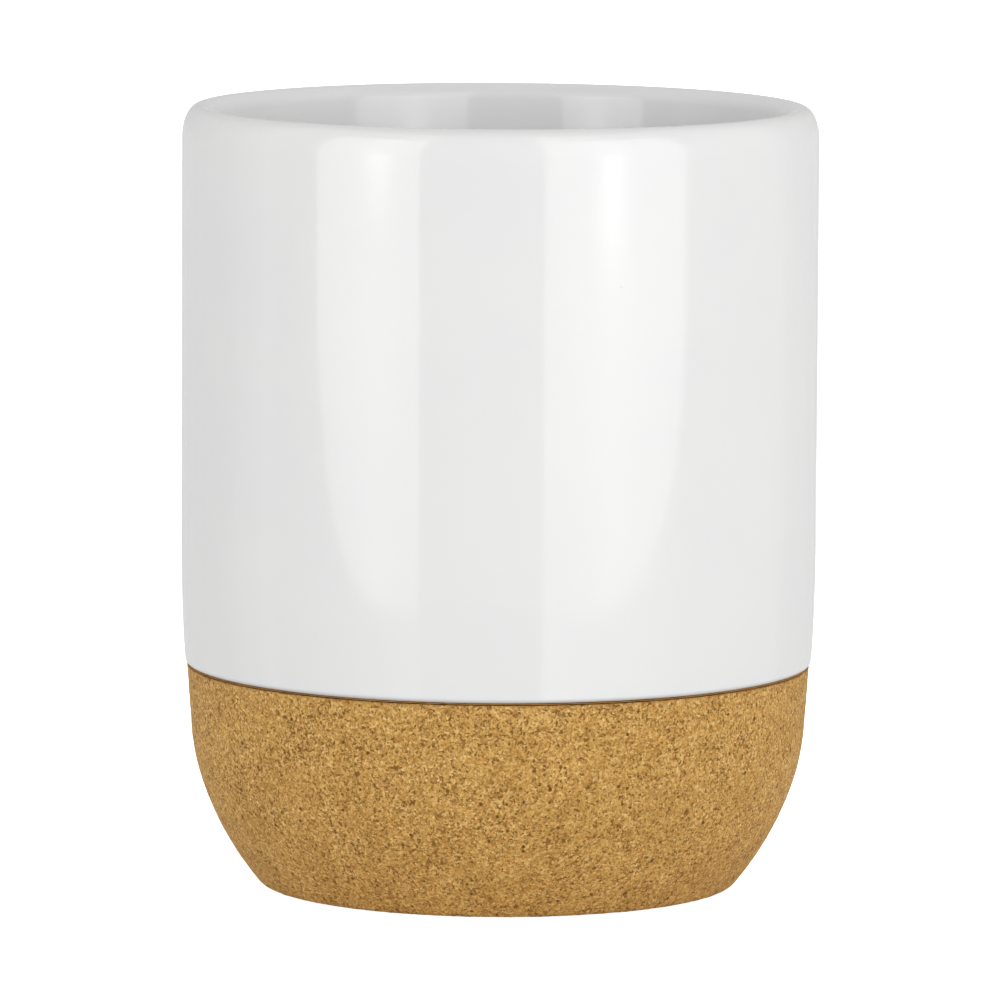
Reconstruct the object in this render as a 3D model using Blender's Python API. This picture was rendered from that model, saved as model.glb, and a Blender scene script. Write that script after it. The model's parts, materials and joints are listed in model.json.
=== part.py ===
"""A handleless ceramic tumbler whose foot is glued into a turned cork base.

Metres, +Z up. The origin is the centre of the cork's underside.
Every piece is round, so each one is a half section that a Screw modifier turns about Z.
A heading is the way a section runs: 0 outwards, 90 up, -90 down and -180 inwards.
"""

from math import acos, ceil, cos, pi, radians, sin, tan

import bpy

# Driving dimensions
HEIGHT = 0.1033
OUTER_RADIUS = 0.0420
JOINT_HEIGHT = 0.0294
JOINT_GAP = 0.0004
INNER_FLOOR = 0.0118
CORK_TOP_RADIUS = 0.04125
CORK_WALL = 0.0028
CORK_FLOOR = 0.0050
GLUE_SPACE = 0.0010
CLEARANCE = 0.0003

# Rim: a rounded lip whose crest lies a little nearer the outside
RIM_CREST_INSET = 0.0022
RIM_OUTER_DROP = 0.0042
RIM_STEPS = 6

# Arcs are (radius, heading at the end), each one tangent to what comes before it
INNER_ARCS = ((0.0130, 70.0), (0.0600, 78.0), (0.1500, 90.0))
LIP_ARCS = ((0.1150, 83.0), (0.0023, 0.0))
SHOULDER_ARCS = ((0.2400, -93.0), (0.0600, -95.5), (0.0007, -180.0))
SOCKET_ARCS = ((0.0127, 60.0), (0.0260, 84.0))
CORK_EDGE_ARC = (0.0004, -94.2)
CORK_ARCS = ((0.0292, -109.0), (0.0410, -130.0), (0.0015, -180.0))

# Foot ring under the ceramic, and the adhesive
FOOT_INNER = 0.0170
FOOT_DEPTH = 0.0012
FOOT_SLOPE = 0.0006
BAND_LOW = 0.0220
BAND_HIGH = 0.0281
RING_INNER = 0.0176
RING_OUTER = 0.0224

FACETS = 64
ARC_ERROR = 0.00004

# Derived
RIM_CREST = OUTER_RADIUS - RIM_CREST_INSET
SHOULDER_HEIGHT = JOINT_HEIGHT + JOINT_GAP / 2
CORK_TOP = JOINT_HEIGHT - JOINT_GAP / 2
SOCKET_RADIUS = CORK_TOP_RADIUS - CORK_WALL
SOCKET_LEAN = radians(90.0 - SOCKET_ARCS[-1][1])
FOOT_HEIGHT = CORK_FLOOR + GLUE_SPACE


class Section:
    """A half section drawn with straight runs, tangent arcs and one quarter ellipse."""

    def __init__(self, radius, height, heading):
        self.points = [(radius, height)]
        self.heading = heading

    def line_to(self, radius, height):
        self.points.append((radius, height))

    def arc(self, arc_radius, heading):
        """An arc that leaves along the present heading and ends along the new one."""
        side = 1 if heading > self.heading else -1
        start = radians(self.heading)
        turn = radians(heading) - start
        centre_radius = self.points[-1][0] - side * arc_radius * sin(start)
        centre_height = self.points[-1][1] + side * arc_radius * cos(start)
        steps = ceil(abs(turn) / (2 * acos(1 - ARC_ERROR / arc_radius)))
        for step in range(1, steps + 1):
            way = start + turn * step / steps
            radius = centre_radius + side * arc_radius * sin(way)
            self.line_to(radius, centre_height - side * arc_radius * cos(way))
        self.heading = heading

    def outer_lip(self, radius, height):
        """A quarter ellipse from the crest down to a point where it runs upright."""
        start_radius, start_height = self.points[-1]
        for step in range(1, RIM_STEPS + 1):
            angle = pi / 2 * step / RIM_STEPS
            self.line_to(
                start_radius + (radius - start_radius) * sin(angle),
                start_height + (height - start_height) * (1 - cos(angle)),
            )
        self.heading = -90.0


def travel(heading, arcs):
    """How far a chain of arcs moves outwards and upwards."""
    chain = Section(0.0, 0.0, heading)
    for arc in arcs:
        chain.arc(*arc)
    return chain.points[-1]


def socket_radius(height, inset):
    """The radius of the socket's straight taper, or of a wall that lies inset from it."""
    return SOCKET_RADIUS - inset / cos(SOCKET_LEAN) + (height - CORK_TOP) * tan(SOCKET_LEAN)


def socket_wall(top, inset):
    """The socket from the edge of its floor up to a height, or a wall inset from it."""
    arcs = [(arc_radius - inset, heading) for arc_radius, heading in SOCKET_ARCS]
    outwards, upwards = travel(0.0, arcs)
    floor = CORK_FLOOR + inset
    start_radius = socket_radius(floor + upwards, inset) - outwards
    section = Section(start_radius, floor, 0.0)
    for arc in arcs:
        section.arc(*arc)
    section.line_to(socket_radius(top, inset), top)
    return section.points


def ceramic_section():
    """From the middle of the cup's floor, over the rim, to the middle of its underside."""
    outwards, upwards = travel(90.0, LIP_ARCS)
    inner_radius = RIM_CREST - outwards
    section = Section(0.0, INNER_FLOOR, 0.0)
    section.line_to(inner_radius - travel(0.0, INNER_ARCS)[0], INNER_FLOOR)
    for arc in INNER_ARCS:
        section.arc(*arc)
    section.line_to(inner_radius, HEIGHT - upwards)
    for arc in LIP_ARCS:
        section.arc(*arc)
    section.outer_lip(OUTER_RADIUS, HEIGHT - RIM_OUTER_DROP)
    section.line_to(OUTER_RADIUS, SHOULDER_HEIGHT - travel(-90.0, SHOULDER_ARCS)[1])
    for arc in SHOULDER_ARCS:
        section.arc(*arc)
    spigot = socket_wall(SHOULDER_HEIGHT, GLUE_SPACE)
    section.points += reversed(spigot)
    section.line_to(FOOT_INNER, FOOT_HEIGHT)
    section.line_to(FOOT_INNER - FOOT_SLOPE, FOOT_HEIGHT + FOOT_DEPTH)
    section.line_to(0.0, FOOT_HEIGHT + FOOT_DEPTH)
    return section.points


def cork_section():
    """From the middle of the socket's floor, over its top, to the middle of the underside."""
    edge_radius, edge_heading = CORK_EDGE_ARC
    section = Section(CORK_TOP_RADIUS - edge_radius, CORK_TOP, 0.0)
    section.arc(edge_radius, edge_heading)
    lean = radians(-90.0 - edge_heading)
    straight_drop = section.points[-1][1] + travel(edge_heading, CORK_ARCS)[1]
    section.line_to(
        section.points[-1][0] - straight_drop * tan(lean),
        section.points[-1][1] - straight_drop,
    )
    for arc in CORK_ARCS:
        section.arc(*arc)
    section.line_to(0.0, 0.0)
    return [(0.0, CORK_FLOOR)] + socket_wall(CORK_TOP, 0.0) + section.points


def band_section():
    """The adhesive between the spigot's side and the socket, clear of both."""
    outer, inner = CLEARANCE, GLUE_SPACE - CLEARANCE
    return [
        (socket_radius(BAND_LOW, inner), BAND_LOW),
        (socket_radius(BAND_HIGH, inner), BAND_HIGH),
        (socket_radius(BAND_HIGH, outer), BAND_HIGH),
        (socket_radius(BAND_LOW, outer), BAND_LOW),
    ]


def ring_section():
    """The adhesive under the foot ring, clear of the foot and of the socket's floor."""
    low, high = CORK_FLOOR + CLEARANCE, FOOT_HEIGHT - CLEARANCE
    return [(RING_INNER, low), (RING_INNER, high), (RING_OUTER, high), (RING_OUTER, low)]


def finish(name, colour, roughness):
    """A plain Principled material."""
    material = bpy.data.materials.new(name)
    material.use_nodes = True
    shader = material.node_tree.nodes["Principled BSDF"]
    shader.inputs["Base Color"].default_value = (*colour, 1.0)
    shader.inputs["Roughness"].default_value = roughness
    shader.inputs["Metallic"].default_value = 0.0
    return material


def turned(name, points, is_ring, material):
    """A piece made by turning a half section about Z, closed on itself if it is a ring."""
    edges = [(i, i + 1) for i in range(len(points) - 1)]
    if is_ring:
        edges.append((len(points) - 1, 0))
    mesh = bpy.data.meshes.new(name)
    mesh.from_pydata([(radius, 0.0, height) for radius, height in points], edges, [])
    mesh.materials.append(material)
    piece = bpy.data.objects.new(name, mesh)
    bpy.context.scene.collection.objects.link(piece)
    screw = piece.modifiers.new("Turn", "SCREW")
    screw.axis = "Z"
    screw.angle = 2 * pi
    screw.steps = FACETS
    screw.render_steps = FACETS
    screw.use_merge_vertices = True
    screw.merge_threshold = 0.00001
    screw.use_smooth_shade = True


def build():
    for existing in list(bpy.data.objects):
        bpy.data.objects.remove(existing)
    adhesive = finish("adhesive", (0.10, 0.06, 0.035), 0.55)
    turned("ceramic_body", ceramic_section(), False, finish("white_glaze", (0.88, 0.88, 0.87), 0.12))
    turned("cork_base", cork_section(), False, finish("pressed_cork", (0.49, 0.28, 0.09), 0.80))
    turned("wall_glue_band", band_section(), True, adhesive)
    turned("foot_glue_ring", ring_section(), True, adhesive)


build()
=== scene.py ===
"""The looks of a ceramic tumbler in a cork base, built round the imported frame. Metres, +Z up."""

import json
from math import cos, degrees, hypot, pi, radians, sin, tan

import bpy
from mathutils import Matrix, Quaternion, Vector


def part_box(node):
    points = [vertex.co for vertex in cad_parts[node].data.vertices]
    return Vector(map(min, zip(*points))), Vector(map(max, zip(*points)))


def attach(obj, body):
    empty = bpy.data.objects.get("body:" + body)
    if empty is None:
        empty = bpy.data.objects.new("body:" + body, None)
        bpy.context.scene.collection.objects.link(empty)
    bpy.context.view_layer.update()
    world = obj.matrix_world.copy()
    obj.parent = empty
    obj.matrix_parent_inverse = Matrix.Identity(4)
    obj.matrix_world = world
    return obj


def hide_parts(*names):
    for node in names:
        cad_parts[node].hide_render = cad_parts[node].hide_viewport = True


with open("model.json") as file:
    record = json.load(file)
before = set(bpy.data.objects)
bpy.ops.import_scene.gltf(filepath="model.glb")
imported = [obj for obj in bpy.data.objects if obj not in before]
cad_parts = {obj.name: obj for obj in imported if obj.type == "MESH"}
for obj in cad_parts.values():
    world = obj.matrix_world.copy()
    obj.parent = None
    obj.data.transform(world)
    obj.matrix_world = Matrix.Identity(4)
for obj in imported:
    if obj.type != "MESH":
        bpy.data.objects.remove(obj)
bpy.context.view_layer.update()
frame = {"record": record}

# Places read from the frame
CERAMIC_LOW, CERAMIC_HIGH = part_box("ceramic_body")
CORK_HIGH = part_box("cork_base")[1]
BAND_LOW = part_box("wall_glue_band")[0]
RING_LOW, RING_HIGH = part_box("foot_glue_ring")
MOUNTS = {mount["name"]: mount["pos_m"] for mount in frame["record"]["mounts"]}

# The cork's edge swells a little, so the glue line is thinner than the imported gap
CREST_INSET = 0.0022
CORK_SWELL = 0.00005
JOINT_GAP = 0.00018

HEIGHT = CERAMIC_HIGH.z
OUTER_RADIUS = CERAMIC_HIGH.x
CREST_RADIUS = OUTER_RADIUS - CREST_INSET
CORK_TOP = CORK_HIGH.z + CORK_SWELL
CORK_TOP_RADIUS = CORK_HIGH.x
SHOULDER_HEIGHT = CORK_TOP + JOINT_GAP
INNER_FLOOR = MOUNTS["inner_floor"][2]
FOOT_HEIGHT = CERAMIC_LOW.z

# Turned outlines: each arc is (radius, heading where it ends), tangent to what comes before
RIM_OUTER_DROP = 0.0042
INNER_ARCS = ((0.0130, 70.0), (0.0600, 78.0), (0.1500, 90.0))
LIP_ARCS = ((0.1150, 83.0), (0.0023, 0.0))
SHOULDER_ARCS = ((0.2400, -93.0), (0.0600, -95.5), (0.0007, -180.0))
SOCKET_ARCS = ((0.0127, 60.0), (0.0260, 84.0))
SOCKET_LEAN = radians(6.0)
CORK_WALL = 0.0028
CORK_EDGE_ARC = (0.00015, -94.2)
CORK_ARCS = ((0.0292, -109.0), (0.0410, -130.0), (0.0015, -180.0))
GLUE_SPACE = 0.0010
FOOT_INNER = 0.0170
FOOT_DEPTH = 0.0012
FOOT_SLOPE = 0.0006

# Adhesive: the film left between it and each wall, and how far its lip stays back
GLUE_FILM = 0.0001
LIP_FILM = 0.00003
LIP_INSET = 0.0003
RING_INSET = 0.0006

# Studio
ROOM_AT_HORIZON, ROOM_HALFWAY, ROOM_OVERHEAD = 1.87, 0.88, 0.21
LAMP_SIZE = 0.8
LAMP_DISTANCE = 1.2
LAMP_RADIANCE = 1.53
TENT_RADIUS = 0.30
PANEL_TOP = 0.35

# Panels of the light tent: azimuths in degrees, heights in metres, light as radiance
LEFT_PANEL = {
    "sides": (-26.8, -64.8),
    "corner": (0.056, 0.060),
    "core": (1.45, 0.60, 0.5),
    "streak": (-41.4, 2.1, 0.064),
}
RIGHT_PANEL = {
    "sides": (14.9, 66.2),
    "corner": (0.053, 0.059),
    "core": (1.55, 0.60, 1.15),
    "streak": (37.7, 2.0, 0.054),
}

# Camera
CAMERA_LENS = 349.9
CAMERA_DISTANCE = 1.2852
CAMERA_ELEVATION = radians(6.646)
CAMERA_ROLL = 0.0053
CAMERA_PIVOT = Vector((0, 0, 0.05334))
CAMERA_AIM = Vector((0.00015, 0, 0.05095))


# ---------------------------------------------------------------- turning


class Outline:
    """Half of a turned piece, drawn in the XZ plane from a single point, then spun about Z.

    A heading is the way the line runs: 0 outwards, 90 up, -90 down and -180 inwards.
    """

    def __init__(self, name, radius, height, heading, spacing):
        bpy.ops.object.select_all(action="DESELECT")
        bpy.ops.mesh.primitive_plane_add(size=0.001)
        self.piece = bpy.context.object
        self.piece.name = name
        self.piece.data.name = name
        bpy.ops.object.mode_set(mode="EDIT")
        bpy.ops.mesh.merge(type="CENTER")
        bpy.ops.transform.translate(value=(radius, 0, height))
        self.at = (radius, height)
        self.heading = heading
        self.spacing = spacing

    def line_to(self, radius, height, spacing=None):
        """Straight extrusions, evenly spaced, to a point."""
        away, rise = radius - self.at[0], height - self.at[1]
        steps = max(1, round(hypot(away, rise) / (spacing or self.spacing)))
        for _ in range(steps):
            move = (away / steps, 0, rise / steps)
            bpy.ops.mesh.extrude_region_move(TRANSFORM_OT_translate={"value": move})
        self.at = (radius, height)

    def arc(self, arc_radius, heading, spacing=None):
        """The last point swept along an arc that ends along the new heading."""
        side = 1 if heading > self.heading else -1
        start, end = radians(self.heading), radians(heading)
        centre_radius = self.at[0] - side * arc_radius * sin(start)
        centre_height = self.at[1] + side * arc_radius * cos(start)
        steps = max(2, round(arc_radius * abs(end - start) / (spacing or self.spacing)))
        bpy.ops.mesh.spin(
            steps=steps,
            angle=end - start,
            center=(centre_radius, 0, centre_height),
            axis=(0, 1, 0),
            use_auto_merge=False,
        )
        self.at = (
            centre_radius + side * arc_radius * sin(end),
            centre_height - side * arc_radius * cos(end),
        )
        self.heading = heading

    def outer_lip(self, radius, height, steps):
        """A quarter ellipse from the crest down to a point where it runs upright."""
        start_radius, start_height = self.at
        for step in range(1, steps + 1):
            angle = pi / 2 * step / steps
            self.line_to(
                start_radius + (radius - start_radius) * sin(angle),
                start_height + (height - start_height) * (1 - cos(angle)),
                spacing=1.0,
            )
        self.heading = -90

    def spin(self, columns):
        """Turns the whole outline about Z, closes it and points its faces outwards."""
        bpy.ops.mesh.select_all(action="SELECT")
        bpy.ops.mesh.spin(steps=columns, angle=2 * pi, center=(0, 0, 0), axis=(0, 0, 1))
        bpy.ops.mesh.select_all(action="SELECT")
        bpy.ops.mesh.remove_doubles(threshold=1e-6)
        bpy.ops.mesh.normals_make_consistent(inside=False)
        bpy.ops.object.mode_set(mode="OBJECT")
        bpy.ops.object.shade_smooth_by_angle(angle=radians(50))
        return self.piece


def travel(heading, arcs):
    """How far a chain of tangent arcs moves outwards and upwards."""
    outwards = upwards = 0.0
    for arc_radius, end in arcs:
        side = 1 if end > heading else -1
        outwards += side * arc_radius * (sin(radians(end)) - sin(radians(heading)))
        upwards -= side * arc_radius * (cos(radians(end)) - cos(radians(heading)))
        heading = end
    return outwards, upwards


def socket_radius(height, inset):
    """The radius of the cork socket's straight taper, or of a wall inset from it."""
    mouth = CORK_TOP_RADIUS - CORK_WALL
    return mouth - inset / cos(SOCKET_LEAN) + (height - CORK_TOP) * tan(SOCKET_LEAN)


# ---------------------------------------------------------------- pieces


def throw_body():
    """The ceramic: floor, wall and rolled lip, glaze edge, spigot and foot ring."""
    outwards, upwards = travel(90, LIP_ARCS)
    inner_radius = CREST_RADIUS - outwards
    body = Outline("glazed_body", 0, INNER_FLOOR, 0, spacing=0.0015)
    body.line_to(inner_radius - travel(0, INNER_ARCS)[0], INNER_FLOOR, 0.003)
    for arc in INNER_ARCS:
        body.arc(*arc)
    body.line_to(inner_radius, HEIGHT - upwards, 0.002)
    flare, lip = LIP_ARCS
    body.arc(*flare)
    body.arc(*lip, spacing=0.00025)
    body.outer_lip(OUTER_RADIUS, HEIGHT - RIM_OUTER_DROP, 16)
    body.line_to(OUTER_RADIUS, SHOULDER_HEIGHT - travel(-90, SHOULDER_ARCS)[1], 0.002)
    *leaning, glaze_edge = SHOULDER_ARCS
    for arc in leaning:
        body.arc(*arc)
    body.arc(*glaze_edge, spacing=0.00012)
    mouth = socket_radius(SHOULDER_HEIGHT, GLUE_SPACE)
    body.line_to(mouth, SHOULDER_HEIGHT, 0.001)
    floor_arc, side_arc = SOCKET_ARCS
    spigot_arcs = (
        (side_arc[0] - GLUE_SPACE, floor_arc[1] - 180),
        (floor_arc[0] - GLUE_SPACE, -180),
    )
    body.heading = side_arc[1] - 180
    arcs_top = FOOT_HEIGHT - travel(body.heading, spigot_arcs)[1]
    body.line_to(socket_radius(arcs_top, GLUE_SPACE), arcs_top)
    for arc in spigot_arcs:
        body.arc(*arc)
    body.line_to(FOOT_INNER, FOOT_HEIGHT, 0.002)
    body.line_to(FOOT_INNER - FOOT_SLOPE, FOOT_HEIGHT + FOOT_DEPTH, 0.0005)
    body.line_to(0, FOOT_HEIGHT + FOOT_DEPTH, 0.004)
    return body.spin(columns=256)


def turn_cork():
    """The cork: socket with a floor, flat top, curved outside and flat underside."""
    floor = FOOT_HEIGHT - GLUE_SPACE
    outwards, upwards = travel(0, SOCKET_ARCS)
    cork = Outline("turned_cork", 0, floor, 0, spacing=0.0004)
    cork.line_to(socket_radius(floor + upwards, 0) - outwards, floor, 0.003)
    for arc in SOCKET_ARCS:
        cork.arc(*arc, spacing=0.002)
    cork.line_to(socket_radius(CORK_TOP, 0), CORK_TOP, 0.002)
    edge_radius, edge_heading = CORK_EDGE_ARC
    cork.line_to(CORK_TOP_RADIUS - edge_radius, CORK_TOP)
    cork.heading = 0
    cork.arc(edge_radius, edge_heading, spacing=0.0001)
    lean = radians(-90 - edge_heading)
    drop = cork.at[1] + travel(edge_heading, CORK_ARCS)[1]
    cork.line_to(cork.at[0] - drop * tan(lean), cork.at[1] - drop)
    for arc in CORK_ARCS:
        cork.arc(*arc)
    cork.line_to(0, 0, 0.0016)
    return cork.spin(columns=640)


def lay_wall_glue():
    """The adhesive band, with the slim lip that squeezes out into the joint."""
    lip = CORK_TOP_RADIUS - LIP_INSET
    low = BAND_LOW.z
    top = SHOULDER_HEIGHT - LIP_FILM
    under = CORK_TOP + LIP_FILM
    inner = GLUE_SPACE - GLUE_FILM
    band = Outline("wall_glue", socket_radius(low, inner), low, 90, spacing=0.0008)
    band.line_to(socket_radius(top, inner), top)
    band.line_to(lip, top, 0.0005)
    band.heading = 0
    band.arc((top - under) / 2, -180, spacing=0.00008)
    band.line_to(socket_radius(CORK_TOP, GLUE_FILM), under, 0.0005)
    band.line_to(socket_radius(low, GLUE_FILM), low)
    band.line_to(socket_radius(low, inner), low)
    return band.spin(columns=256)


def lay_foot_glue():
    """The adhesive ring under the foot, pressed flat with rounded edges."""
    half = (RING_HIGH.z - RING_LOW.z) / 2
    outer = RING_HIGH.x
    inner = FOOT_INNER + RING_INSET
    ring = Outline("foot_glue", inner + half, RING_HIGH.z, 0, spacing=0.0008)
    ring.line_to(outer - half, RING_HIGH.z)
    ring.arc(half, -180, spacing=0.00008)
    ring.line_to(inner + half, RING_LOW.z)
    ring.arc(half, -360, spacing=0.00008)
    return ring.spin(columns=192)


def relief(piece, name, kind, size, depth, mid_level=1.0, **settings):
    """A procedural relief pressed into a piece and applied, so that it is real shape."""
    pattern = bpy.data.textures.new(name, kind)
    pattern.noise_scale = size
    for key, value in settings.items():
        setattr(pattern, key, value)
    press = piece.modifiers.new(name, "DISPLACE")
    press.texture = pattern
    press.texture_coords = "LOCAL"
    press.strength = depth
    press.mid_level = mid_level
    bpy.ops.object.select_all(action="DESELECT")
    piece.select_set(True)
    bpy.context.view_layer.objects.active = piece
    bpy.ops.object.modifier_apply(modifier=press.name)


def is_bare_clay(centre, normal):
    """Whether a face of the ceramic is on the spigot, the foot or the recess in it."""
    outwards = normal.dot((centre * Vector((1, 1, 0))).normalized())
    return centre.z < SHOULDER_HEIGHT + 0.00002 and max(-normal.z, outwards) > 0.3


def paint_faces(piece, material, wanted):
    """Assigns a further material to the faces that wanted(centre, normal) picks."""
    piece.data.materials.append(material)
    slot = len(piece.data.materials) - 1
    for face in piece.data.polygons:
        if wanted(face.center, face.normal):
            face.material_index = slot


# ---------------------------------------------------------------- shader groups


class Graph:
    """A small helper that adds nodes and links to a material or a group."""

    def __init__(self, tree):
        self.tree = tree

    def node(self, kind, **settings):
        made = self.tree.nodes.new(kind)
        for key, value in settings.items():
            setattr(made, key, value)
        return made

    def feed(self, socket, value):
        """Sets an input, or links it when the value is another node's output."""
        if isinstance(value, bpy.types.NodeSocket):
            self.tree.links.new(value, socket)
        else:
            socket.default_value = value

    def math(self, operation, *values):
        made = self.node("ShaderNodeMath", operation=operation)
        for socket, value in zip(made.inputs, values):
            self.feed(socket, value)
        return made.outputs[0]

    def noise(self, where, scale, detail=3.0, roughness=0.5, distortion=0.0):
        made = self.node("ShaderNodeTexNoise")
        self.feed(made.inputs["Vector"], where)
        self.feed(made.inputs["Scale"], scale)
        made.inputs["Detail"].default_value = detail
        made.inputs["Roughness"].default_value = roughness
        made.inputs["Distortion"].default_value = distortion
        return made.outputs["Fac"]

    def cells(self, where, scale, feature="F1", randomness=1.0):
        made = self.node("ShaderNodeTexVoronoi", feature=feature)
        self.feed(made.inputs["Vector"], where)
        self.feed(made.inputs["Scale"], scale)
        made.inputs["Randomness"].default_value = randomness
        return made.outputs

    def span(self, value, low, high, to_low=0.0, to_high=1.0, smooth=False):
        made = self.node("ShaderNodeMapRange", clamp=True)
        made.interpolation_type = "SMOOTHSTEP" if smooth else "LINEAR"
        for socket, given in zip(made.inputs, (value, low, high, to_low, to_high)):
            self.feed(socket, given)
        return made.outputs[0]

    def lobe(self, value, centre, width):
        """A soft hump, 1 at the centre."""
        away = self.math("DIVIDE", self.math("SUBTRACT", value, centre), width)
        squared = self.math("MULTIPLY", away, away)
        return self.math("EXPONENT", self.math("MULTIPLY", squared, -1.0))

    def mix(self, share, first, second, blend="MIX"):
        made = self.node("ShaderNodeMix", data_type="RGBA", blend_type=blend)
        self.feed(made.inputs["Factor"], share)
        self.feed(made.inputs[6], first)
        self.feed(made.inputs[7], second)
        return made.outputs[2]

    def stain(self, colour, mask, strength, stain):
        """The colour, with some of another one in it where the mask is."""
        return self.mix(self.math("MULTIPLY", mask, strength), colour, (*stain, 1))

    def level(self, where):
        """How high a point is."""
        parts = self.node("ShaderNodeSeparateXYZ")
        self.feed(parts.inputs[0], where)
        return parts.outputs[2]

    def from_axis(self, where):
        """How far a point is from the turning axis."""
        flat = self.node("ShaderNodeVectorMath", operation="MULTIPLY")
        self.feed(flat.inputs[0], where)
        flat.inputs[1].default_value = (1, 1, 0)
        length = self.node("ShaderNodeVectorMath", operation="LENGTH")
        self.feed(length.inputs[0], flat.outputs[0])
        return length.outputs["Value"]

    def ramp(self, share, stops):
        made = self.node("ShaderNodeValToRGB")
        band = made.color_ramp
        while len(band.elements) < len(stops):
            band.elements.new(1.0)
        for element, (place, colour) in zip(band.elements, stops):
            element.position = place
            element.color = (*colour, 1.0)
        self.feed(made.inputs[0], share)
        return made.outputs[0]


def new_group(name, inputs, outputs):
    """An empty shader group with named sockets, and its graph, input and output nodes."""
    group = bpy.data.node_groups.new(name, "ShaderNodeTree")
    for socket_name, kind, value in inputs:
        made = group.interface.new_socket(socket_name, in_out="INPUT", socket_type=kind)
        if value is not None:
            made.default_value = value
    for socket_name, kind in outputs:
        group.interface.new_socket(socket_name, in_out="OUTPUT", socket_type=kind)
    graph = Graph(group)
    return group, graph, graph.node("NodeGroupInput").outputs, graph.node("NodeGroupOutput").inputs


def drift_group():
    """Slow colour drift: what firing, glazing or pressing leaves over a surface."""
    group, graph, given, out = new_group(
        "colour_drift",
        (
            ("Vector", "NodeSocketVector", None),
            ("Colour", "NodeSocketColor", (0.8, 0.8, 0.8, 1)),
            ("Drift Colour", "NodeSocketColor", (0.7, 0.7, 0.7, 1)),
            ("Scale", "NodeSocketFloat", 60.0),
            ("Amount", "NodeSocketFloat", 0.5),
        ),
        (("Colour", "NodeSocketColor"), ("Mask", "NodeSocketFloat")),
    )
    cloud = graph.noise(given["Vector"], given["Scale"], detail=4, roughness=0.55)
    mask = graph.span(cloud, 0.38, 0.66, smooth=True)
    share = graph.math("MULTIPLY", mask, given["Amount"])
    graph.feed(out["Colour"], graph.mix(share, given["Colour"], given["Drift Colour"]))
    graph.feed(out["Mask"], mask)
    return group


def pits_group():
    """Small round pits scattered over a surface: pinholes, pores and lost granules."""
    group, graph, given, out = new_group(
        "pits",
        (
            ("Vector", "NodeSocketVector", None),
            ("Scale", "NodeSocketFloat", 400.0),
            ("Share", "NodeSocketFloat", 0.2),
            ("Size", "NodeSocketFloat", 0.2),
        ),
        (("Mask", "NodeSocketFloat"), ("Height", "NodeSocketFloat")),
    )
    cells = graph.cells(given["Vector"], given["Scale"])
    chosen = graph.node("ShaderNodeSeparateColor")
    graph.feed(chosen.inputs[0], cells["Color"])
    has_pit = graph.math("LESS_THAN", chosen.outputs[0], given["Share"])
    edge = graph.math("MULTIPLY", given["Size"], 0.55)
    inside = graph.span(cells["Distance"], given["Size"], edge, smooth=True)
    mask = graph.math("MULTIPLY", has_pit, inside)
    graph.feed(out["Mask"], mask)
    graph.feed(out["Height"], graph.math("SUBTRACT", 1.0, mask))
    return group


def specks_group():
    """Ragged specks that gather in loose clusters, such as bark in cork or grit in clay."""
    group, graph, given, out = new_group(
        "specks",
        (
            ("Vector", "NodeSocketVector", None),
            ("Scale", "NodeSocketFloat", 1500.0),
            ("Level", "NodeSocketFloat", 0.62),
            ("Clusters", "NodeSocketFloat", 0.25),
        ),
        (("Mask", "NodeSocketFloat"), ("Height", "NodeSocketFloat")),
    )
    grit = graph.noise(given["Vector"], given["Scale"], detail=2, roughness=0.6, distortion=0.5)
    cloud = graph.noise(given["Vector"], graph.math("MULTIPLY", given["Scale"], 0.13), detail=2)
    lift = graph.math("MULTIPLY", graph.math("SUBTRACT", 0.5, cloud), given["Clusters"])
    level = graph.math("ADD", given["Level"], lift)
    mask = graph.span(grit, level, graph.math("ADD", level, 0.07), smooth=True)
    graph.feed(out["Mask"], mask)
    graph.feed(out["Height"], graph.math("SUBTRACT", 1.0, mask))
    return group


def granules_group():
    """One size of cork granule: a shade for each, darker joints and a height."""
    group, graph, given, out = new_group(
        "granules",
        (
            ("Vector", "NodeSocketVector", None),
            ("Scale", "NodeSocketFloat", 1500.0),
            ("Ragged", "NodeSocketFloat", 0.0004),
        ),
        (("Shade", "NodeSocketFloat"), ("Tone", "NodeSocketFloat"), ("Joint", "NodeSocketFloat")),
    )
    wobble = graph.node("ShaderNodeTexNoise")
    graph.feed(wobble.inputs["Vector"], given["Vector"])
    graph.feed(wobble.inputs["Scale"], given["Scale"])
    wobble.inputs["Detail"].default_value = 2.0
    centred = graph.node("ShaderNodeVectorMath", operation="SUBTRACT")
    graph.feed(centred.inputs[0], wobble.outputs["Color"])
    centred.inputs[1].default_value = (0.5, 0.5, 0.5)
    pushed = graph.node("ShaderNodeVectorMath", operation="SCALE")
    graph.feed(pushed.inputs[0], centred.outputs[0])
    graph.feed(pushed.inputs["Scale"], given["Ragged"])
    moved = graph.node("ShaderNodeVectorMath", operation="ADD")
    graph.feed(moved.inputs[0], given["Vector"])
    graph.feed(moved.inputs[1], pushed.outputs[0])
    cells = graph.cells(moved.outputs[0], given["Scale"])
    parts = graph.node("ShaderNodeSeparateColor")
    graph.feed(parts.inputs[0], cells["Color"])
    edges = graph.cells(moved.outputs[0], given["Scale"], feature="DISTANCE_TO_EDGE")
    graph.feed(out["Shade"], parts.outputs[0])
    graph.feed(out["Tone"], parts.outputs[1])
    graph.feed(out["Joint"], graph.span(edges["Distance"], 0.16, 0.0, smooth=True))
    return group


# ---------------------------------------------------------------- materials


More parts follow.
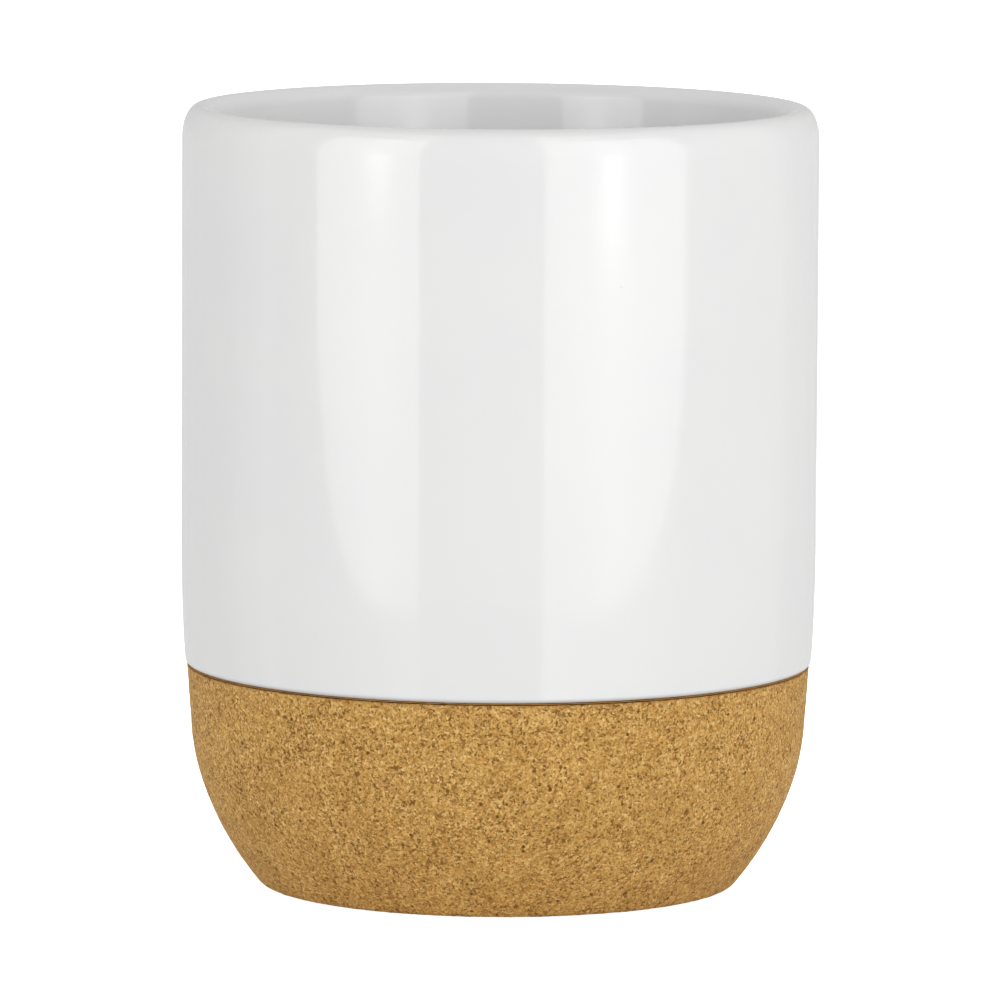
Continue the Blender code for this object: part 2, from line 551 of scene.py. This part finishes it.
def new_material(name, **sockets):
    """A material with a Principled shader whose even values sit on its own sockets."""
    material = bpy.data.materials.new(name)
    material.use_nodes = True
    graph = Graph(material.node_tree)
    shader = material.node_tree.nodes["Principled BSDF"]
    for key, value in sockets.items():
        shader.inputs[key.replace("_", " ")].default_value = value
    where = graph.node("ShaderNodeTexCoord").outputs["Object"]
    return material, graph, shader, where


def place_group(graph, group, **values):
    made = graph.node("ShaderNodeGroup", node_tree=group)
    for key, value in values.items():
        graph.feed(made.inputs[key.replace("_", " ")], value)
    return made.outputs


def add_bump(graph, shader, *layers):
    """Chains bump layers, each (height, distance), into the shader's Normal."""
    normal = None
    for height, distance in layers:
        bump = graph.node("ShaderNodeBump")
        bump.inputs["Distance"].default_value = distance
        graph.feed(bump.inputs["Height"], height)
        if normal is not None:
            graph.feed(bump.inputs["Normal"], normal)
        normal = bump.outputs["Normal"]
    graph.feed(shader.inputs["Normal"], normal)


def glaze_material(drift, pits):
    """White gloss glaze, with a painted bluish reflection and painted shade along its lower edge,
    the glaze thinner on the lip, and painted shade inside the cup.
    """
    material, graph, shader, where = new_material(
        "white_gloss_glaze", IOR=1.52, Coat_Weight=0.0
    )
    body = place_group(
        graph, drift, Vector=where, Colour=(0.79, 0.79, 0.785, 1),
        Drift_Colour=(0.765, 0.77, 0.77, 1), Scale=45.0, Amount=0.6,
    )
    height = graph.level(where)
    edge = SHOULDER_HEIGHT
    # Painted bluish reflection along the rounded lower edge of the glaze, just above the joint.
    painted_edge_reflection = graph.span(height, edge + 0.0022, edge + 0.0002, smooth=True)
    colour = graph.stain(body["Colour"], painted_edge_reflection, 0.5, (0.77, 0.80, 0.82))
    # Painted shade over the last 0.8 mm of the glaze, where its rounded edge turns under towards
    # the joint.
    painted_edge_shade = graph.span(height, edge + 0.0008, edge + 0.00015, smooth=True)
    colour = graph.stain(colour, painted_edge_shade, 0.5, (0.45, 0.435, 0.41))
    lip = graph.span(height, HEIGHT - 0.0012, HEIGHT, smooth=True)
    colour = graph.stain(colour, lip, 0.25, (0.74, 0.735, 0.715))
    # Painted shade inside the cup: from just inside the crest inwards the glaze is drawn darker
    # and greyer.
    radius = graph.from_axis(where)
    inside = graph.span(radius, CREST_RADIUS - 0.0006, CREST_RADIUS - 0.0030, smooth=True)
    colour = graph.mix(inside, colour, (0.674, 0.677, 0.674, 1))
    pinholes = place_group(graph, pits, Vector=where, Scale=260.0, Share=0.05, Size=0.035)
    colour = graph.stain(colour, pinholes["Mask"], 0.35, (0.45, 0.43, 0.40))
    graph.feed(shader.inputs["Base Color"], colour)
    smear = graph.noise(where, 120.0, detail=4, roughness=0.6)
    graph.feed(shader.inputs["Roughness"], graph.span(smear, 0.3, 0.7, 0.055, 0.10))
    waves = graph.noise(where, 55.0, detail=2, roughness=0.4)
    peel = graph.noise(where, 900.0, detail=2, roughness=0.5)
    add_bump(
        graph, shader, (waves, 0.00006), (peel, 0.0000012), (pinholes["Height"], 0.00004)
    )
    return material


def biscuit_material(drift, pits):
    """Bare fired clay on the spigot and foot, matt and slightly sandy."""
    material, graph, shader, where = new_material("bare_biscuit")
    body = place_group(
        graph, drift, Vector=where, Colour=(0.70, 0.67, 0.61, 1),
        Drift_Colour=(0.62, 0.57, 0.49, 1), Scale=90.0, Amount=0.8,
    )
    pores = place_group(graph, pits, Vector=where, Scale=900.0, Share=0.25, Size=0.25)
    colour = graph.stain(body["Colour"], pores["Mask"], 0.5, (0.40, 0.35, 0.29))
    graph.feed(shader.inputs["Base Color"], colour)
    sand = graph.noise(where, 2200.0, detail=4, roughness=0.7)
    graph.feed(shader.inputs["Roughness"], graph.span(sand, 0.3, 0.7, 0.72, 0.92))
    add_bump(graph, shader, (sand, 0.00005), (pores["Height"], 0.00008))
    return material


def cork_material(drift, pits, specks, granules):
    """Fine pressed cork: golden granules, pale flecks, dark bark, and a top edge darkened partly
    by glue and partly by painted shade under the joint.
    """
    material, graph, shader, where = new_material("pressed_cork", Specular_IOR_Level=0.25)
    coarse = place_group(graph, granules, Vector=where, Scale=1500.0, Ragged=0.0005)
    fine = place_group(graph, granules, Vector=where, Scale=3300.0, Ragged=0.0003)
    coarse_colour = graph.ramp(
        coarse["Shade"],
        (
            (0.0, (0.36, 0.175, 0.042)),
            (0.25, (0.52, 0.270, 0.066)),
            (0.75, (0.63, 0.350, 0.095)),
            (1.0, (0.74, 0.470, 0.165)),
        ),
    )
    fine_colour = graph.ramp(
        fine["Shade"],
        (
            (0.0, (0.20, 0.085, 0.018)),
            (0.16, (0.40, 0.200, 0.046)),
            (0.5, (0.59, 0.322, 0.080)),
            (0.84, (0.73, 0.438, 0.132)),
            (1.0, (0.93, 0.640, 0.260)),
        ),
    )
    colour = graph.mix(0.74, coarse_colour, fine_colour)
    dust = graph.noise(where, 4200.0, detail=2, roughness=0.6)
    light_dust = graph.span(dust, 0.52, 0.70)
    colour = graph.stain(colour, light_dust, 0.52, (0.90, 0.61, 0.24))
    dark_dust = graph.span(dust, 0.46, 0.30)
    colour = graph.stain(colour, dark_dust, 0.62, (0.25, 0.11, 0.020))
    bark = place_group(graph, specks, Vector=where, Scale=2200.0, Level=0.590, Clusters=0.24)
    colour = graph.stain(colour, bark["Mask"], 0.85, (0.17, 0.067, 0.008))
    chips = place_group(graph, pits, Vector=where, Scale=900.0, Share=0.11, Size=0.30)
    colour = graph.stain(colour, chips["Mask"], 0.95, (0.135, 0.055, 0.010))
    # Darker top edge of the cork: partly glue taken up by the cork, partly painted shade under the
    # joint where the edge would catch light.
    height = graph.level(where)
    glue_and_shade_edge = graph.span(height, CORK_TOP - 0.00045, CORK_TOP - 0.0001, smooth=True)
    colour = graph.stain(colour, glue_and_shade_edge, 0.28, (0.24, 0.110, 0.030))
    body = place_group(
        graph, drift, Vector=where, Colour=colour,
        Drift_Colour=(0.42, 0.215, 0.04, 1), Scale=140.0, Amount=0.20,
    )
    graph.feed(shader.inputs["Base Color"], body["Colour"])
    graph.feed(shader.inputs["Roughness"], graph.span(dust, 0.3, 0.7, 0.92, 0.74))
    add_bump(
        graph, shader, (dust, 0.00006), (fine["Shade"], 0.00005),
        (coarse["Shade"], 0.00006), (bark["Height"], 0.00008),
    )
    return material


def adhesive_material(drift, pits):
    """Set adhesive, amber brown, with a few small bubbles."""
    material, graph, shader, where = new_material("set_adhesive")
    body = place_group(
        graph, drift, Vector=where, Colour=(0.54, 0.27, 0.075, 1),
        Drift_Colour=(0.68, 0.37, 0.115, 1), Scale=300.0, Amount=0.7,
    )
    bubbles = place_group(graph, pits, Vector=where, Scale=700.0, Share=0.2, Size=0.3)
    colour = graph.stain(body["Colour"], bubbles["Mask"], 0.5, (0.05, 0.025, 0.010))
    graph.feed(shader.inputs["Base Color"], colour)
    skin = graph.noise(where, 1400.0, detail=3, roughness=0.5)
    graph.feed(shader.inputs["Roughness"], graph.span(skin, 0.3, 0.7, 0.45, 0.65))
    add_bump(graph, shader, (skin, 0.00004), (bubbles["Height"], 0.00006))
    return material


# ---------------------------------------------------------------- studio


def pale_floor():
    """A plain white table that carries on to the horizon and clips to white."""
    bpy.ops.object.select_all(action="DESELECT")
    bpy.ops.mesh.primitive_plane_add(size=60, location=(0, 0, -0.00002))
    floor = bpy.context.object
    floor.name = "studio_floor"
    material, graph, shader, where = new_material("white_table", Roughness=0.9)
    shader.inputs["Specular IOR Level"].default_value = 0.0
    shader.inputs["Base Color"].default_value = (0.85, 0.85, 0.85, 1)
    path = graph.node("ShaderNodeLightPath")
    glow = graph.math("MULTIPLY", path.outputs["Is Camera Ray"], 0.93)
    shader.inputs["Emission Color"].default_value = (1, 1, 1, 1)
    graph.feed(shader.inputs["Emission Strength"], glow)
    floor.data.materials.append(material)
    floor.visible_glossy = False


def softbox(name, azimuth, elevation, radiance):
    """A large soft lamp that lights surfaces from afar and isn't mirrored by the glaze."""
    data = bpy.data.lights.new(name, "AREA")
    data.size = LAMP_SIZE
    data.energy = radiance * pi * LAMP_SIZE**2
    lamp = bpy.data.objects.new(name, data)
    bpy.context.scene.collection.objects.link(lamp)
    away = Vector((sin(azimuth) * cos(elevation), -cos(azimuth) * cos(elevation), sin(elevation)))
    lamp.location = away * LAMP_DISTANCE + Vector((0, 0, HEIGHT / 2))
    lamp.rotation_euler = away.to_track_quat("Z", "Y").to_euler()
    lamp.visible_camera = False
    lamp.visible_glossy = False


def panel_glow(graph, azimuth, height, sides, corner, core, streak):
    """One tall panel: an upright inner edge, a rounded lower outer corner and a bright streak.

    sides are the azimuths of its inner and outer edge. corner is (height where it starts,
    drop). core is (radiance, more in the middle, skirt below the panel). streak is
    (azimuth, radiance, height where it starts).
    """
    inner, outer = sides
    bend, drop = corner
    plain, middle, skirt = core
    place, strength, start = streak
    across = graph.math("DIVIDE", graph.math("SUBTRACT", azimuth, inner), outer - inner)
    sideways = graph.math("MAXIMUM", across, 0.0)
    below = graph.math("DIVIDE", graph.math("SUBTRACT", bend, height), drop)
    below = graph.math("MAXIMUM", below, 0.0)
    reach = graph.math(
        "ADD", graph.math("MULTIPLY", sideways, sideways), graph.math("MULTIPLY", below, below)
    )
    edge = graph.span(across, -0.015, 0.015, smooth=True)
    shape = graph.math("MULTIPLY", graph.span(reach, 1.06, 0.92, smooth=True), edge)
    top = graph.span(height, PANEL_TOP, PANEL_TOP - 0.04, smooth=True)
    shape = graph.math("MULTIPLY", shape, top)
    hump = graph.math("MULTIPLY", graph.lobe(azimuth, (inner + outer) / 2, 16), middle)
    bright = graph.math("ADD", hump, plain)
    bright = graph.math("MULTIPLY", bright, graph.span(height, bend - drop, bend, 0.62, 1.0))
    rise = graph.span(height, start, start + 0.018, 0.12, 1.0, smooth=True)
    rise = graph.math("MULTIPLY", rise, graph.span(height, 0.16, 0.11, 0.25, 1.0, smooth=True))
    line = graph.math("MULTIPLY", graph.lobe(azimuth, place, 5.0), strength)
    line = graph.math("MULTIPLY", line, rise)
    panel = graph.math("MULTIPLY", graph.math("ADD", bright, line), shape)
    under = graph.math("MULTIPLY", graph.span(across, 0.0, 1.0, skirt, 0.0), edge)
    return graph.math("MAXIMUM", panel, under)


def light_tent():
    """A round wall of light that only the glaze mirrors: two tall panels on a plain ground."""
    bpy.ops.object.select_all(action="DESELECT")
    bpy.ops.mesh.primitive_cylinder_add(
        vertices=128, radius=TENT_RADIUS, depth=0.9, end_fill_type="NOTHING", location=(0, 0, 0.15)
    )
    bpy.ops.object.transform_apply(location=True)
    tent = bpy.context.object
    tent.name = "light_tent"
    tent.visible_camera = False
    tent.visible_diffuse = False
    tent.visible_transmission = False
    tent.visible_shadow = False
    material = bpy.data.materials.new("tent_light")
    material.use_nodes = True
    material.cycles.emission_sampling = "NONE"
    nodes = material.node_tree.nodes
    nodes.remove(nodes["Principled BSDF"])
    graph = Graph(material.node_tree)
    place = graph.node("ShaderNodeSeparateXYZ")
    graph.feed(place.inputs[0], graph.node("ShaderNodeTexCoord").outputs["Object"])
    x, y, height = place.outputs
    turn = graph.math("ARCTAN2", x, graph.math("MULTIPLY", y, -1.0))
    azimuth = graph.math("MULTIPLY", turn, degrees(1))
    left = panel_glow(graph, azimuth, height, **LEFT_PANEL)
    right = panel_glow(graph, azimuth, height, **RIGHT_PANEL)
    far_left = graph.span(azimuth, -108.0, -101.0, 0.73, 0.95, smooth=True)
    far_right = graph.span(azimuth, 121.0, 114.0, 0.79, 1.0, smooth=True)
    ground = graph.math("MULTIPLY", far_left, far_right)
    behind = graph.span(graph.math("ABSOLUTE", azimuth), 100.0, 125.0, smooth=True)
    high = graph.math("MULTIPLY", behind, graph.span(height, 0.085, 0.110, 0.0, 0.15, smooth=True))
    ground = graph.math("MULTIPLY", ground, graph.math("SUBTRACT", 1.0, high))
    glint = graph.math("MULTIPLY", graph.lobe(azimuth, -86.7, 4), 0.3)
    total = graph.math("ADD", graph.math("ADD", left, right), graph.math("ADD", ground, glint))
    light = graph.node("ShaderNodeEmission")
    graph.feed(light.inputs["Strength"], total)
    graph.feed(nodes["Material Output"].inputs["Surface"], light.outputs[0])
    tent.data.materials.append(material)


def light_studio():
    """A white room, darker overhead, the tent, and a soft lamp in front to the right."""
    world = bpy.data.worlds.new("white_room")
    bpy.context.scene.world = world
    world.use_nodes = True
    graph = Graph(world.node_tree)
    light = world.node_tree.nodes["Background"]
    way = graph.node("ShaderNodeSeparateXYZ")
    graph.feed(way.inputs[0], graph.node("ShaderNodeTexCoord").outputs["Generated"])
    low = graph.span(way.outputs[2], 0.0, 0.5, ROOM_AT_HORIZON, ROOM_HALFWAY)
    dimmer = graph.span(way.outputs[2], 0.5, 1.0, 0.0, ROOM_HALFWAY - ROOM_OVERHEAD)
    room = graph.math("SUBTRACT", low, dimmer)
    under = graph.span(way.outputs[2], -0.04, -0.02, 0.5, 1.0)
    room = graph.math("MULTIPLY", room, under)
    to_camera = graph.node("ShaderNodeLightPath").outputs["Is Camera Ray"]
    graph.feed(light.inputs["Strength"], graph.math("ADD", room, to_camera))
    graph.feed(light.inputs["Color"], (1, 1, 1, 1))
    softbox("key_lamp", radians(22), radians(30), LAMP_RADIANCE)
    light_tent()


def set_camera():
    """A long lens a little above the cup, as for a catalogue picture."""
    data = bpy.data.cameras.new("catalogue_camera")
    data.sensor_width = 36
    data.lens = CAMERA_LENS
    data.clip_start, data.clip_end = 0.05, 100
    camera = bpy.data.objects.new("catalogue_camera", data)
    bpy.context.scene.collection.objects.link(camera)
    away = Vector((0, -cos(CAMERA_ELEVATION), sin(CAMERA_ELEVATION)))
    camera.location = CAMERA_PIVOT + CAMERA_DISTANCE * away
    straight = (CAMERA_AIM - camera.location).to_track_quat("-Z", "Y")
    camera.rotation_euler = (straight @ Quaternion((0, 0, 1), CAMERA_ROLL)).to_euler()
    bpy.context.scene.camera = camera


# ---------------------------------------------------------------- the object


drift, pits, specks, granules = drift_group(), pits_group(), specks_group(), granules_group()
glaze = glaze_material(drift, pits)
biscuit = biscuit_material(drift, pits)
cork_look = cork_material(drift, pits, specks, granules)
adhesive = adhesive_material(drift, pits)

body = throw_body()
relief(body, "glaze_waves", "CLOUDS", 0.028, 0.00006, mid_level=1.0)
body.data.materials.append(glaze)
paint_faces(body, biscuit, is_bare_clay)

cork = turn_cork()
relief(cork, "pressed_granules", "VORONOI", 0.0009, -0.00005, mid_level=0.0)
relief(cork, "lost_granules", "CLOUDS", 0.0016, 0.00008, mid_level=1.0, noise_type="HARD_NOISE")
cork.data.materials.append(cork_look)

wall_glue = lay_wall_glue()
foot_glue = lay_foot_glue()
for glue in (wall_glue, foot_glue):
    relief(glue, glue.name + "_skin", "CLOUDS", 0.0015, 0.00004, mid_level=1.0)
    glue.data.materials.append(adhesive)

for piece, node, slot in (
    (body, "ceramic_body", "white_glaze"),
    (cork, "cork_base", "pressed_cork"),
    (wall_glue, "wall_glue_band", "adhesive"),
    (foot_glue, "foot_glue_ring", "adhesive"),
):
    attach(piece, "root")
    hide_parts(node)

pale_floor()
light_studio()
set_camera()
bpy.context.scene.view_settings.view_transform = "Standard"
